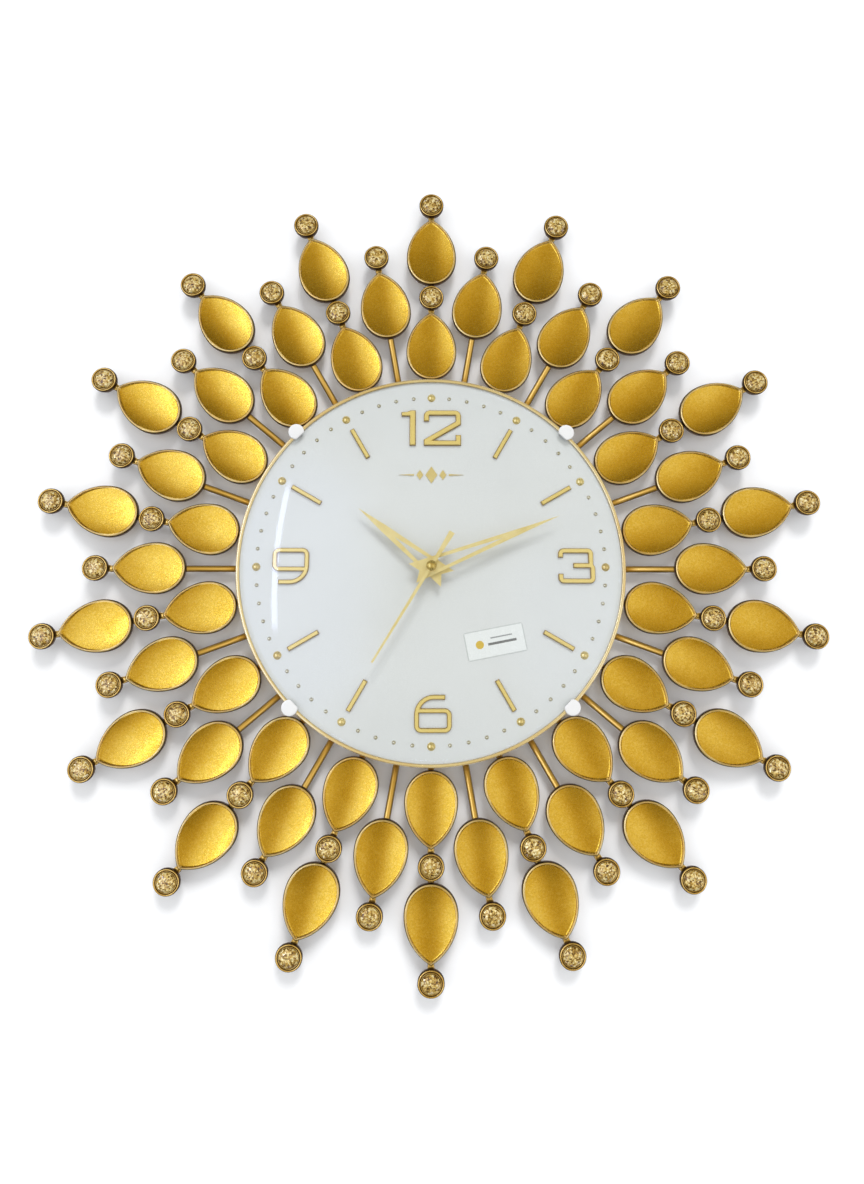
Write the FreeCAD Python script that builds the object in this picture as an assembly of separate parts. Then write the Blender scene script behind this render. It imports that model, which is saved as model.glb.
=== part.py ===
import FreeCAD, Part
import math
import os

# Sunburst wall clock: rays of pressed leaves and set stones around a domed quartz clock.
# The dial faces -Y, +X is the viewer's right and +Z is up. The origin is on the axis of the
# hands, on the wall plane. "Depth" is the distance in front of the wall, so Y = -depth.
# "Clock angle" is in degrees, clockwise from twelve as seen from the front.

# ---------------------------------------------------------------- driving dimensions (mm)
RAY_PAIRS = 18
OUTER_GEM_RING = 290.0
INNER_GEM_RING = 212.8
SHORT_GEM_RING = 249.6
OUTER_LEAF_WIDEST = 245.5
INNER_LEAF_WIDEST = 168.0
SHORT_LEAF_WIDEST = 204.5

LEAF_HALF_WIDTH = 19.4
LEAF_TIP_LENGTH = 33.0
LEAF_ROUND_LENGTH = 21.8
LEAF_BACK = 7.8
LEAF_RIM = 12.5
LEAF_FLOOR = 9.0
LEAF_DISH_ACROSS = 49.0
LEAF_DISH_ALONG = 140.0
LEAF_RIM_SCALE = 0.94

ROD_RADIUS = 2.5
ROD_DEPTH = 5.4
ROD_START = 100.0

CUP_RADIUS = 9.6
CUP_BACK = 6.6
CUP_FACE = 13.0
CUP_BORE = 7.5
GEM_RADIUS = 7.4
GEM_SEAT = 12.3
GEM_TABLE = 14.8

PLATE_RADIUS = 122.0
PLATE_BACK = 1.5
PLATE_FRONT = 3.0
MOVEMENT_WINDOW = 59.0
KEYHOLE_HEIGHT = 78.0
KEYHOLE_RADIUS = 4.5
KEYHOLE_SLOT = 2.2
KEYHOLE_RISE = 12.0
SCREW_CIRCLE = 112.0

TRAY_BACK = 7.9
TRAY_SHEET = 1.4
TRAY_RADIUS = 142.0
DIAL_RADIUS = 140.5
BOARD_BACK = 17.0
BOARD_FRONT = 20.0
DIAL_FRONT = 21.0
BEZEL_OUTER = 143.2
BEZEL_LIP = 140.4
BEZEL_FRONT = 22.5
GLASS_RADIUS = 140.2
GLASS_RISE = 22.0
GLASS_THICKNESS = 1.8

STUD_CIRCLE = 128.3
BAR_CIRCLE = 107.0

HOUR_HAND_ANGLE = 308.5
MINUTE_HAND_ANGLE = 68.5
SECOND_HAND_ANGLE = 211.5

CASE_HALF = 28.0
CASE_WALL = 1.2
CASE_FRONT = 16.2
CASE_INSIDE_FRONT = 15.0
COVER_THICKNESS = 1.4
BATTERY_RADIUS = 7.25
BATTERY_LENGTH = 50.5
BATTERY_DEPTH = 7.6
BATTERY_HEIGHT = -19.5
BUSH_RADIUS = 4.0
BUSH_TIP = 25.8

ADDENDUM = 0.75
DEDENDUM = 1.15
PIVOT_RADIUS = 0.35
PIVOT_CLEARANCE = 0.07


# ---------------------------------------------------------------- shape helpers
def at(x, depth, z):
    return FreeCAD.Vector(x, -depth, z)


def around(clock_angle, radius):
    turn = math.radians(clock_angle)
    return radius * math.sin(turn), radius * math.cos(turn)


def disc(radius, back, front, x=0.0, z=0.0):
    return Part.makeCylinder(radius, front - back, at(x, back, z), FreeCAD.Vector(0, -1, 0))


def ring(outer, inner, back, front, x=0.0, z=0.0):
    return disc(outer, back, front, x, z).cut(disc(inner, back, front, x, z))


def block(x0, x1, back, front, z0, z1):
    return Part.makeBox(x1 - x0, front - back, z1 - z0, at(x0, front, z0))


def prism(points, back, front):
    corners = [at(x, back, z) for x, z in points]
    outline = Part.makePolygon(corners + corners[:1])
    return Part.Face(outline).extrude(FreeCAD.Vector(0, back - front, 0))


def turned(profile, x=0.0, z=0.0):
    """A solid turned about a line from back to front; the profile lists (radius, depth)."""
    corners = [at(radius, depth, 0) for radius, depth in profile]
    outline = Part.makePolygon(corners + corners[:1])
    solid = Part.Face(outline).revolve(FreeCAD.Vector(0, 0, 0), FreeCAD.Vector(0, 1, 0), 360)
    solid.translate(FreeCAD.Vector(x, 0, z))
    return solid


def turn(shape, clock_angle):
    copy = shape.copy()
    copy.rotate(FreeCAD.Vector(0, 0, 0), FreeCAD.Vector(0, 1, 0), clock_angle)
    return copy


def shifted(shape, x, z):
    copy = shape.copy()
    copy.translate(FreeCAD.Vector(x, 0, z))
    return copy


def fuse(shapes):
    return shapes[0].multiFuse(shapes[1:]).removeSplitter()


def cap(radius, height, base, x, z):
    """A dome whose flat side lies at the depth called base."""
    ball = (radius * radius + height * height) / (2 * height)
    sphere = Part.makeSphere(ball, at(x, base + height - ball, z))
    return sphere.common(disc(radius + 1, base, base + height + 1, x, z))


def bevelled(shape, front, size):
    """Chamfer every edge that lies in the front plane."""
    edges = [e for e in shape.Edges if abs(e.BoundBox.YMin + front) < 1e-6 and e.BoundBox.YLength < 1e-6]
    return shape.makeChamfer(size, edges)


def sector(x, z, outer, inner, start, sweep, back, front):
    """A stroke bent round (x, z), from the clock angle start through sweep degrees."""
    wedge = Part.makeCylinder(outer, front - back, at(0, back, 0), FreeCAD.Vector(0, -1, 0), sweep)
    if inner > 0:
        wedge = wedge.cut(disc(inner, back, front))
    wedge_start = 180 - sweep
    return shifted(turn(wedge, start - wedge_start), x, z)


def save(name, shape):
    shape.exportStep(f"parts/{name}.step")


def save_group(name, solids):
    save(name, Part.makeCompound(solids))


# ---------------------------------------------------------------- sunburst frame
LONG_ANGLES = [i * 360 / RAY_PAIRS for i in range(RAY_PAIRS)]
SHORT_ANGLES = [angle + 180 / RAY_PAIRS for angle in LONG_ANGLES]
SCREW_ANGLES = [45, 135, 225, 315]


def ray_rod(end):
    start = at(0, ROD_DEPTH, ROD_START)
    return Part.makeCylinder(ROD_RADIUS, end - ROD_START, start, FreeCAD.Vector(0, 0, 1))


def leaf_outline(scale, back, front):
    """Round towards the hub, drawn to a point outwards; the widest place is at height 0."""
    half = LEAF_HALF_WIDTH * scale
    tip = LEAF_TIP_LENGTH * scale
    heel = LEAF_ROUND_LENGTH * scale
    side = (half * half + tip * tip) / (2 * half)
    bow = math.asin(tip / side) / 2
    bow_x = half - side + side * math.cos(bow)
    bow_z = side * math.sin(bow)
    right = Part.Arc(at(half, back, 0), at(bow_x, back, bow_z), at(0, back, tip)).toShape()
    left = Part.Arc(at(0, back, tip), at(-bow_x, back, bow_z), at(-half, back, 0)).toShape()
    oval = Part.Ellipse(at(0, back, -heel), at(half, back, 0), at(0, back, 0))
    turns = [oval.parameter(at(side_x, back, 0)) for side_x in (half, -half)]
    heel_arc = Part.ArcOfEllipse(oval, *turns).toShape()
    if heel_arc.BoundBox.ZMin > -heel / 2:
        heel_arc = Part.ArcOfEllipse(oval, *reversed(turns)).toShape()
    outline = Part.Wire(Part.sortEdges([right, left, heel_arc])[0])
    return Part.Face(outline).extrude(FreeCAD.Vector(0, back - front, 0))


def leaf(widest, rod):
    body = leaf_outline(1.0, LEAF_BACK, LEAF_RIM)
    middle = (LEAF_TIP_LENGTH - LEAF_ROUND_LENGTH) / 2
    bowl = Part.makeTorus(
        LEAF_DISH_ALONG - LEAF_DISH_ACROSS,
        LEAF_DISH_ACROSS,
        at(0, LEAF_FLOOR + LEAF_DISH_ALONG, middle),
        FreeCAD.Vector(1, 0, 0),
    )
    hollow = leaf_outline(LEAF_RIM_SCALE, LEAF_BACK, LEAF_RIM + 1).common(bowl)
    return shifted(body.cut(hollow), 0, widest).cut(rod)


def gem_cup(radius, rod):
    foot = CUP_RADIUS - 1.0
    ledge = GEM_RADIUS - 0.4
    well = 8.8
    profile = [
        (0, CUP_BACK), (foot, CUP_BACK), (CUP_RADIUS, 9.4), (CUP_RADIUS, CUP_FACE), (CUP_BORE, CUP_FACE),
        (CUP_BORE, GEM_SEAT), (ledge, GEM_SEAT), (2.2, well), (0, well),
    ]
    return turned(profile, 0, radius).cut(rod)


def gem(radius):
    """A round stone: a point cut flat at the back, a narrow girdle and a flat table."""
    culet = 9.0
    girdle_front = GEM_SEAT + 0.6
    table_radius = 4.4
    profile = [
        (0, culet), (1.5, culet), (GEM_RADIUS - 0.5, GEM_SEAT), (GEM_RADIUS, GEM_SEAT),
        (GEM_RADIUS, girdle_front), (table_radius, GEM_TABLE), (0, GEM_TABLE),
    ]
    return turned(profile, 0, radius)


def frame_screw():
    head = disc(3.5, TRAY_BACK + TRAY_SHEET, 11.6, 0, SCREW_CIRCLE)
    shank = disc(2.0, PLATE_BACK, 11.6, 0, SCREW_CIRCLE)
    slot = block(-3.6, 3.6, 10.6, 11.7, SCREW_CIRCLE - 0.5, SCREW_CIRCLE + 0.5)
    return head.fuse(shank).removeSplitter().cut(slot)


def back_plate(rods):
    window = MOVEMENT_WINDOW / 2
    plate = disc(PLATE_RADIUS, PLATE_BACK, PLATE_FRONT)
    plate = plate.cut(block(-window, window, 0, 5, -window, window))
    plate = plate.cut(disc(KEYHOLE_RADIUS, 0, 5, 0, KEYHOLE_HEIGHT))
    plate = plate.cut(block(-KEYHOLE_SLOT, KEYHOLE_SLOT, 0, 5, KEYHOLE_HEIGHT, KEYHOLE_HEIGHT + KEYHOLE_RISE))
    plate = plate.cut(disc(KEYHOLE_SLOT, 0, 5, 0, KEYHOLE_HEIGHT + KEYHOLE_RISE))
    for angle in SCREW_ANGLES:
        plate = plate.cut(disc(2.0, 0, 5, *around(angle, SCREW_CIRCLE)))
    return plate.cut(Part.makeCompound(rods))


def sunburst():
    long_rod = ray_rod(OUTER_GEM_RING)
    short_rod = ray_rod(SHORT_GEM_RING)
    groups = {
        "long_ray_rods": (long_rod, LONG_ANGLES),
        "short_ray_rods": (short_rod, SHORT_ANGLES),
        "inner_leaves": (leaf(INNER_LEAF_WIDEST, long_rod), LONG_ANGLES),
        "outer_leaves": (leaf(OUTER_LEAF_WIDEST, long_rod), LONG_ANGLES),
        "short_ray_leaves": (leaf(SHORT_LEAF_WIDEST, short_rod), SHORT_ANGLES),
        "inner_gem_cups": (gem_cup(INNER_GEM_RING, long_rod), LONG_ANGLES),
        "outer_gem_cups": (gem_cup(OUTER_GEM_RING, long_rod), LONG_ANGLES),
        "short_ray_gem_cups": (gem_cup(SHORT_GEM_RING, short_rod), SHORT_ANGLES),
        "inner_gems": (gem(INNER_GEM_RING), LONG_ANGLES),
        "outer_gems": (gem(OUTER_GEM_RING), LONG_ANGLES),
        "short_ray_gems": (gem(SHORT_GEM_RING), SHORT_ANGLES),
        "frame_screws": (frame_screw(), SCREW_ANGLES),
    }
    for name, (piece, angles) in groups.items():
        save_group(name, [turn(piece, angle) for angle in angles])
    rods = [turn(long_rod, a) for a in LONG_ANGLES] + [turn(short_rod, a) for a in SHORT_ANGLES]
    save("back_plate", back_plate(rods))


# ---------------------------------------------------------------- dial case
def dial_tray():
    outer = TRAY_RADIUS - 3.0
    profile = [
        (0, TRAY_BACK), (outer, TRAY_BACK), (outer, 15.6), (TRAY_RADIUS, 15.6), (TRAY_RADIUS, 21.5),
        (DIAL_RADIUS + 0.1, 21.5), (DIAL_RADIUS + 0.1, BOARD_BACK), (outer - TRAY_SHEET, BOARD_BACK),
        (outer - TRAY_SHEET, TRAY_BACK + TRAY_SHEET), (0, TRAY_BACK + TRAY_SHEET),
    ]
    window = MOVEMENT_WINDOW / 2
    tray = turned(profile).cut(block(-window, window, 0, 12, -window, window))
    for angle in SCREW_ANGLES:
        tray = tray.cut(disc(2.1, 0, 12, *around(angle, SCREW_CIRCLE)))
    return tray


def glass_ball(front):
    """The ball whose cap of height GLASS_RISE stands on the rim at the given depth."""
    ball = (GLASS_RADIUS ** 2 + GLASS_RISE ** 2) / (2 * GLASS_RISE)
    return Part.makeSphere(ball, at(0, front + GLASS_RISE - ball, 0))


def dome_glass():
    rim_front = DIAL_FRONT + GLASS_THICKNESS
    outside = glass_ball(rim_front).common(disc(GLASS_RADIUS, DIAL_FRONT, 60))
    return outside.cut(glass_ball(DIAL_FRONT))


def bezel():
    profile = [
        (TRAY_RADIUS, 13.5), (BEZEL_OUTER, 13.5), (BEZEL_OUTER, BEZEL_FRONT), (BEZEL_LIP, BEZEL_FRONT),
        (BEZEL_LIP, 21.5), (TRAY_RADIUS, 21.5),
    ]
    return turned(profile)


def glass_clip():
    """A rounded plastic shoe that grips the bezel and laps over the edge of the glass."""
    radius = 5.9
    centre = 142.9
    chord = 138.4
    shoe = disc(radius, 16.0, 24.8, 0, centre).cut(block(-9, 9, 15, 26, chord - 9, chord))
    under_glass = glass_ball(DIAL_FRONT + GLASS_THICKNESS).common(disc(GLASS_RADIUS, 10, 60))
    return shoe.cut(disc(BEZEL_OUTER, 10, BEZEL_FRONT)).cut(under_glass)


def case():
    bush_hole = disc(BUSH_RADIUS, 10, 30)
    save("dial_tray", dial_tray())
    save("dial_board", disc(DIAL_RADIUS, BOARD_BACK, BOARD_FRONT).cut(bush_hole))
    save("dial_face", disc(DIAL_RADIUS, BOARD_FRONT, DIAL_FRONT).cut(bush_hole))
    save("bezel", bezel())
    save("dome_glass", dome_glass())
    save_group("glass_clips", [turn(glass_clip(), angle) for angle in SCREW_ANGLES])


# ---------------------------------------------------------------- dial furniture
NUMERAL_FRONT = DIAL_FRONT + 1.8
NUMERAL_BEVEL = 0.8


def stroke(x0, z0, x1, z1):
    return block(x0, x1, DIAL_FRONT, NUMERAL_FRONT, z0, z1)


def bend(x, z, outer, inner, start, sweep=90):
    return sector(x, z, outer, inner, start, sweep, DIAL_FRONT, NUMERAL_FRONT)


def numeral(strokes):
    return bevelled(fuse(strokes), NUMERAL_FRONT, NUMERAL_BEVEL)


def figure_one():
    outline = [
        (-16.4, 91.3), (-11.8, 91.3), (-11.8, 118.5), (-15.6, 118.5), (-18.0, 117.4), (-22.6, 117.0),
        (-22.6, 113.8), (-16.4, 113.8),
    ]
    return bevelled(prism(outline, DIAL_FRONT, NUMERAL_FRONT), NUMERAL_FRONT, NUMERAL_BEVEL)


def figure_two():
    left = -5.7
    right = 22.2
    bottom = 91.3
    top = 118.5
    thick = 4.0
    corner = 4.5
    inner = corner - thick
    diagonal = [
        (right - thick, 110.0), (right, 110.0), (right, 107.4), (1.4, bottom + thick), (left, bottom + thick),
        (left, bottom + thick + 0.6),
    ]
    return numeral([
        stroke(left, 110.0, left + thick, top - corner),
        bend(left + corner, top - corner, corner, inner, 270),
        stroke(left + corner, top - thick, right - corner, top),
        bend(right - corner, top - corner, corner, inner, 0),
        stroke(right - thick, 110.0, right, top - corner),
        prism(diagonal, DIAL_FRONT, NUMERAL_FRONT),
        stroke(left, bottom, right, bottom + thick),
        stroke(right - thick, bottom + thick, right, 99.5),
    ])


def figure_three():
    left = 93.3
    upper_right = 119.2
    lower_right = 120.5
    bottom = -12.1
    middle_top = 3.0
    top = 13.9
    thick = 3.7
    corner = 4.2
    inner = corner - thick
    return numeral([
        stroke(left, 7.0, left + thick, top - corner),
        bend(left + corner, top - corner, corner, inner, 270),
        stroke(left + corner, top - thick, upper_right - corner, top),
        bend(upper_right - corner, top - corner, corner, inner, 0),
        stroke(upper_right - thick, 0, upper_right, top - corner),
        stroke(104.4, middle_top - thick, lower_right - corner, middle_top),
        bend(lower_right - corner, middle_top - corner, corner, inner, 0),
        stroke(lower_right - thick, bottom + corner, lower_right, middle_top - corner),
        bend(lower_right - corner, bottom + corner, corner, inner, 90),
        stroke(left + corner, bottom, lower_right - corner, bottom + thick),
        bend(left + corner, bottom + corner, corner, inner, 180),
        stroke(left, bottom + corner, left + thick, -4.9),
    ])


def figure_six():
    left = -12.2
    right = 14.6
    top = -92.1
    bottom = -118.8
    sweep_radius = 14.0
    corner = 5.0
    thin = 3.4
    loop_top = -101.6
    return numeral([
        stroke(left + sweep_radius, top - thin, 10.0, top),
        bend(left + sweep_radius, top - sweep_radius, sweep_radius, sweep_radius - thin, 270),
        stroke(left, bottom + corner, left + thin, top - sweep_radius),
        bend(left + corner, bottom + corner, corner, corner - thin, 180),
        stroke(left + corner, bottom, right - corner, bottom + thin),
        bend(right - corner, bottom + corner, corner, corner - thin, 90),
        stroke(right - thin, bottom + corner, right, loop_top - corner),
        bend(right - corner, loop_top - corner, corner, corner - thin, 0),
        stroke(left + thin / 2, loop_top - thin, right - corner, loop_top),
    ])


def figure_nine():
    six = figure_six()
    nine = turn(six, 180)
    six_middle = (1.2, -105.45)
    nine_middle = (-103.0, 0.55)
    return shifted(nine, nine_middle[0] + six_middle[0], nine_middle[1] + six_middle[1])


def hour_bar():
    half = 1.7
    reach = 12.5
    bar = block(-half, half, DIAL_FRONT, NUMERAL_FRONT, BAR_CIRCLE - reach, BAR_CIRCLE + reach)
    return bevelled(bar, NUMERAL_FRONT, NUMERAL_BEVEL)


def dial_ornament():
    """A neutral row of lozenges with a fine line at each side."""
    height = 69.0
    front = DIAL_FRONT + 0.5
    pieces = []
    for middle, half_width, half_height in ((0, 4.4, 6.4), (-8.6, 2.6, 3.8), (8.6, 2.6, 3.8)):
        corners = [
            (middle - half_width, height), (middle, height + half_height),
            (middle + half_width, height), (middle, height - half_height),
        ]
        pieces.append(prism(corners, DIAL_FRONT, front))
    for side in (-1, 1):
        corners = [(side * 13.0, height - 0.6), (side * 24.0, height), (side * 13.0, height + 0.6)]
        pieces.append(prism(corners, DIAL_FRONT, front))
    return pieces


def dial_label():
    label = block(-22, 22, DIAL_FRONT, DIAL_FRONT + 0.15, -10.5, 10.5)
    upright = [e for e in label.Edges if e.BoundBox.YLength > 0.1]
    return shifted(turn(label.makeFillet(2.0, upright), -11), 46.5, -54.5)


def dial_furniture():
    minute_angles = [i * 6 for i in range(60) if i % 5]
    hour_angles = [i * 30 for i in range(12)]
    bar_angles = [i * 30 for i in range(12) if i % 3]
    save_group("numeral_12", [figure_one(), figure_two()])
    save("numeral_3", figure_three())
    save("numeral_6", figure_six())
    save("numeral_9", figure_nine())
    save_group("hour_bars", [turn(hour_bar(), angle) for angle in bar_angles])
    hour_stud = cap(3.0, 1.8, DIAL_FRONT, 0, STUD_CIRCLE)
    minute_stud = cap(1.45, 1.0, DIAL_FRONT, 0, STUD_CIRCLE)
    save_group("hour_studs", [turn(hour_stud, angle) for angle in hour_angles])
    save_group("minute_studs", [turn(minute_stud, angle) for angle in minute_angles])
    save_group("dial_ornament", dial_ornament())
    save("dial_label", dial_label())


# ---------------------------------------------------------------- hands
HOUR_HAND_DEPTH = 27.0
MINUTE_HAND_DEPTH = 29.6
SECOND_HAND_DEPTH = 32.2
HAND_SHEET = 0.6
HAND_HUB = 6.6
SECOND_ARBOR = 0.5
MINUTE_TUBE = 1.45
MINUTE_BORE = 0.57
HOUR_PIPE = 2.3
HOUR_BORE = 1.53
BUSH_BORE = 2.38


def split_hand(tip, shoulder, shoulder_half, slot_apex, depth, bore):
    """A sheet hand with two legs that part behind the slot and end in a swallow tail."""
    barb_back = 14.7
    barb_side = 7.5
    notch = 9.3
    leg = 2.4
    slot_start = 5.0
    front = depth + HAND_SHEET
    outline = [
        (0, tip), (shoulder_half, shoulder), (barb_side, -barb_back), (0, -notch), (-barb_side, -barb_back),
        (-shoulder_half, shoulder),
    ]
    slope = (barb_side - shoulder_half) / (shoulder + barb_back)
    slot_half = barb_side - slope * (slot_start + barb_back) - leg
    slot = prism([(0, slot_apex), (slot_half, slot_start), (-slot_half, slot_start)], depth - 1, front + 1)
    hand = prism(outline, depth, front).cut(slot)
    hub = disc(HAND_HUB, depth, front)
    return hand.fuse(hub).removeSplitter().cut(disc(bore, depth - 1, front + 1))


def second_hand():
    front = SECOND_HAND_DEPTH + HAND_SHEET
    outline = [
        (0.75, 81.0), (1.3, 0), (1.4, -8.0), (2.2, -28.7),
        (-2.2, -28.7), (-1.4, -8.0), (-1.3, 0), (-0.75, 81.0),
    ]
    blade = prism(outline, SECOND_HAND_DEPTH, front)
    boss = disc(2.6, SECOND_HAND_DEPTH, front).fuse(disc(1.2, 31.4, SECOND_HAND_DEPTH))
    return blade.fuse(boss).removeSplitter().cut(disc(SECOND_ARBOR, 31, 34))


def second_hand_cap():
    base = SECOND_HAND_DEPTH + HAND_SHEET
    dome = disc(3.75, base, base + 1.0).fuse(cap(3.75, 1.8, base + 1.0, 0, 0)).removeSplitter()
    return dome.cut(disc(SECOND_ARBOR, base, 33.6))


def hands():
    hour = split_hand(68.5, 45.0, 2.8, 34.8, HOUR_HAND_DEPTH, HOUR_PIPE)
    minute = split_hand(101.0, 62.0, 2.6, 56.0, MINUTE_HAND_DEPTH, MINUTE_TUBE)
    save("hour_hand", turn(hour, HOUR_HAND_ANGLE))
    save("minute_hand", turn(minute, MINUTE_HAND_ANGLE))
    save("second_hand", turn(second_hand(), SECOND_HAND_ANGLE))
    save("second_hand_cap", second_hand_cap())


# ---------------------------------------------------------------- gear train
TRAIN_DISTANCE = 12.24
FIFTH_DISTANCE = 12.0
MOTION_DISTANCE = 7.5
ROTOR_DISTANCE = 7.0

CENTRE = (0.0, 0.0)
THIRD = around(0, TRAIN_DISTANCE)
FIFTH = around(300, FIFTH_DISTANCE)
ROTOR = tuple(a + b for a, b in zip(FIFTH, around(315, ROTOR_DISTANCE)))
MINUTE_WHEEL = around(90, MOTION_DISTANCE)
SETTING = around(90, 2 * MOTION_DISTANCE)

BRIDGE_BACK = 2.2
BRIDGE_FRONT = 3.2
SETTING_SHAFT = 1.0


def bearing(from_point, to_point):
    return math.degrees(math.atan2(to_point[0] - from_point[0], to_point[1] - from_point[1]))


def gear(teeth, module, back, front, place, tooth_angle):
    """A toothed disc with flat flanks; one tooth points along the clock angle tooth_angle."""
    pitch = teeth * module / 2
    shares = ((pitch - DEDENDUM * module, 0.50), (pitch, 0.40), (pitch + ADDENDUM * module, 0.17))
    step = 360 / teeth
    points = []
    for tooth in range(teeth):
        middle = tooth_angle + tooth * step
        points += [around(middle - share * step / 2, radius) for radius, share in shares]
        points += [around(middle + share * step / 2, radius) for radius, share in reversed(shares)]
    return shifted(prism(points, back, front), *place)


def wheel_and_pinion(place, wheel, pinion, body, back=3.3, front=14.9):
    """A wheel and a pinion on one arbor with a thin pivot at each end."""
    x, z = place
    arbor = disc(body, back, front, x, z).fuse(disc(PIVOT_RADIUS, back - 1.0, front + 0.8, x, z))
    return fuse([arbor, wheel, pinion])


def mesh_wheel(teeth, module, back, front, place, mate):
    """A gear with a tooth on the line to its mate."""
    return gear(teeth, module, back, front, place, bearing(place, mate))


def mesh_pinion(teeth, module, back, front, place, mate):
    """A gear with a gap on the line to its mate."""
    return gear(teeth, module, back, front, place, bearing(place, mate) + 180 / teeth)


def rotor():
    x, z = ROTOR
    pinion = mesh_pinion(10, 0.2, 3.5, 4.5, ROTOR, FIFTH)
    magnet = disc(2.8, 5.9, 8.3, x, z)
    return wheel_and_pinion(ROTOR, magnet, pinion, 0.5)


def fifth_wheel():
    wheel = mesh_wheel(60, 0.2, 3.7, 4.3, FIFTH, ROTOR)
    pinion = mesh_pinion(10, 0.4, 4.8, 6.0, FIFTH, CENTRE)
    return wheel_and_pinion(FIFTH, wheel, pinion, 0.6)


def second_wheel():
    wheel = mesh_wheel(50, 0.4, 5.0, 5.8, CENTRE, FIFTH)
    pinion = mesh_pinion(8, 0.36, 8.4, 9.6, CENTRE, THIRD)
    arbor = disc(SECOND_ARBOR, 3.3, 33.6).fuse(disc(PIVOT_RADIUS, 2.3, 3.3))
    return fuse([arbor, wheel, pinion])


def third_wheel():
    wheel = mesh_wheel(60, 0.36, 8.6, 9.4, THIRD, CENTRE)
    pinion = mesh_pinion(8, 0.34, 10.1, 11.3, THIRD, CENTRE)
    return wheel_and_pinion(THIRD, wheel, pinion, 0.6)


def center_wheel():
    return mesh_wheel(64, 0.34, 10.3, 11.1, CENTRE, THIRD).cut(disc(MINUTE_TUBE, 10, 12))


def minute_arbor():
    tube = disc(MINUTE_TUBE, 9.9, 31.0)
    pinion = mesh_pinion(12, 0.3125, 11.8, 13.0, CENTRE, MINUTE_WHEEL)
    return fuse([tube, pinion]).cut(disc(MINUTE_BORE, 9, 32))


def minute_wheel():
    x, z = MINUTE_WHEEL
    wheel = mesh_wheel(36, 0.3125, 12.0, 12.8, MINUTE_WHEEL, CENTRE)
    pinion = mesh_pinion(10, 0.30, 12.8, 14.7, MINUTE_WHEEL, CENTRE)
    return fuse([wheel, pinion]).cut(disc(0.65, 11, 15, x, z))


def hour_wheel():
    wheel = mesh_wheel(40, 0.30, 13.6, 14.6, CENTRE, MINUTE_WHEEL)
    return fuse([wheel, disc(HOUR_PIPE, 13.6, 28.0)]).cut(disc(HOUR_BORE, 13, 29))


def setting_knob():
    x, z = SETTING
    knob = disc(5.0, 0.3, 1.8, x, z)
    for notch in range(12):
        groove_x, groove_z = around(notch * 30, 5.2)
        knob = knob.cut(disc(0.6, 0, 2, x + groove_x, z + groove_z))
    shaft = disc(SETTING_SHAFT, 1.8, 13.4, x, z).fuse(disc(0.6, 13.4, 15.8, x, z))
    pinion = mesh_pinion(12, 0.3125, 11.8, 13.0, SETTING, MINUTE_WHEEL)
    return fuse([knob, shaft, pinion])


# ---------------------------------------------------------------- movement case and circuit
BRIDGE_POSTS = [(16.0, 21.0), (16.0, -8.5), (-14.0, -8.5), (-8.6, 25.0)]
BOARD_POSTS = [(22.0, -7.5), (22.0, 23.5)]
PARTITION_TOP = -11.5
PARTITION_BOTTOM = -12.1
COIL_X = -22.9
COIL_LOW = -1.5
COIL_HIGH = 21.0
STATOR_BACK = 6.5
STATOR_FRONT = 8.0
CELL_END = BATTERY_LENGTH / 2
STRIP = 0.4


def front_case():
    inner = CASE_HALF - CASE_WALL
    shell = block(-CASE_HALF, CASE_HALF, COVER_THICKNESS, CASE_FRONT, -CASE_HALF, CASE_HALF)
    shell = shell.cut(block(-inner, inner, 0, CASE_INSIDE_FRONT, -inner, inner))
    partition = block(-inner, inner, COVER_THICKNESS, CASE_INSIDE_FRONT, PARTITION_BOTTOM, PARTITION_TOP)
    posts = [disc(1.5, BRIDGE_FRONT, CASE_INSIDE_FRONT, x, z) for x, z in BRIDGE_POSTS]
    posts += [disc(1.2, 5.4, CASE_INSIDE_FRONT, x, z) for x, z in BOARD_POSTS]
    posts += [disc(0.6, 11.8, CASE_INSIDE_FRONT, *MINUTE_WHEEL)]
    body = fuse([shell, partition] + posts)
    pivot_hole = PIVOT_RADIUS + PIVOT_CLEARANCE
    for place in (THIRD, FIFTH, ROTOR):
        body = body.cut(disc(pivot_hole, CASE_INSIDE_FRONT - 0.1, 15.9, *place))
    body = body.cut(disc(0.67, CASE_INSIDE_FRONT - 0.1, 15.9, *SETTING))
    body = body.cut(disc(BUSH_RADIUS, 14, 17))
    for x, z in BRIDGE_POSTS:
        body = body.cut(disc(0.6, BRIDGE_FRONT - 0.1, 7.0, x, z))
    for x0 in (CELL_END, -CELL_END - 0.6 - STRIP):
        body = body.cut(block(x0, x0 + STRIP, 4.0, 7.0, PARTITION_BOTTOM - 0.1, PARTITION_TOP + 0.1))
    return body


def rear_cover():
    cover = block(-CASE_HALF, CASE_HALF, 0, COVER_THICKNESS, -CASE_HALF, CASE_HALF)
    cover = cover.cut(block(-25.4, 25.4, -1, 2, -26.6, -12.4))
    return cover.cut(disc(5.4, -1, 2, *SETTING))


def train_bridge():
    plate = block(-17.8, 18.0, BRIDGE_BACK, BRIDGE_FRONT, -10.5, 26.6)
    pivot_hole = PIVOT_RADIUS + PIVOT_CLEARANCE
    for place in (CENTRE, THIRD, FIFTH, ROTOR):
        plate = plate.cut(disc(pivot_hole, 2, 4, *place))
    plate = plate.cut(disc(SETTING_SHAFT + 0.08, 2, 4, *SETTING))
    for x, z in BRIDGE_POSTS:
        plate = plate.cut(disc(0.7, 2, 4, x, z))
    return plate


def bridge_screw(x, z):
    head = disc(1.2, COVER_THICKNESS + 0.1, BRIDGE_BACK, x, z)
    return head.fuse(disc(0.6, BRIDGE_BACK, 6.5, x, z)).removeSplitter()


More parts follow.
